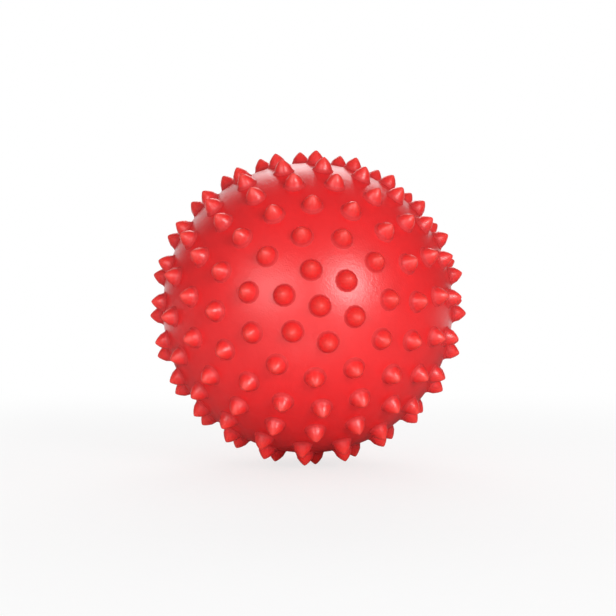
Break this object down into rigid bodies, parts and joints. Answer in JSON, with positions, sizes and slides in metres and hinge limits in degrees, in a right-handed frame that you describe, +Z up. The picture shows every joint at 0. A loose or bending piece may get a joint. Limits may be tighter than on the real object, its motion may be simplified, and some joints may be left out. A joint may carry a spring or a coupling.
{
  "type": "sensory ball",
  "caption": "Hollow soft ball covered in rounded conical spikes for squeezing and rolling, with a needle valve plug at its back pole.",
  "frame": {"origin": "centre of the ball", "axes": "+Z up, the front pole spike towards -Y, the valve on +Y with its plug pulling out along +Y"},
  "size_m": [0.0898, 0.0889, 0.0898],
  "materials": {
    "soft_pvc": "satin",
    "firm_pvc": "satin",
    "white_rubber": "matte"
  },
  "bodies": {
    "ball": {"spiky_shell": "soft_pvc", "valve_seat": "firm_pvc"},
    "plug": {"valve_plug": "white_rubber"}
  },
  "joints": [
    {"name": "plug_pull", "type": "slide", "parent": "ball", "child": "plug", "axis": [0, 1, 0], "range_m": [0, 0.02]}
  ]
}
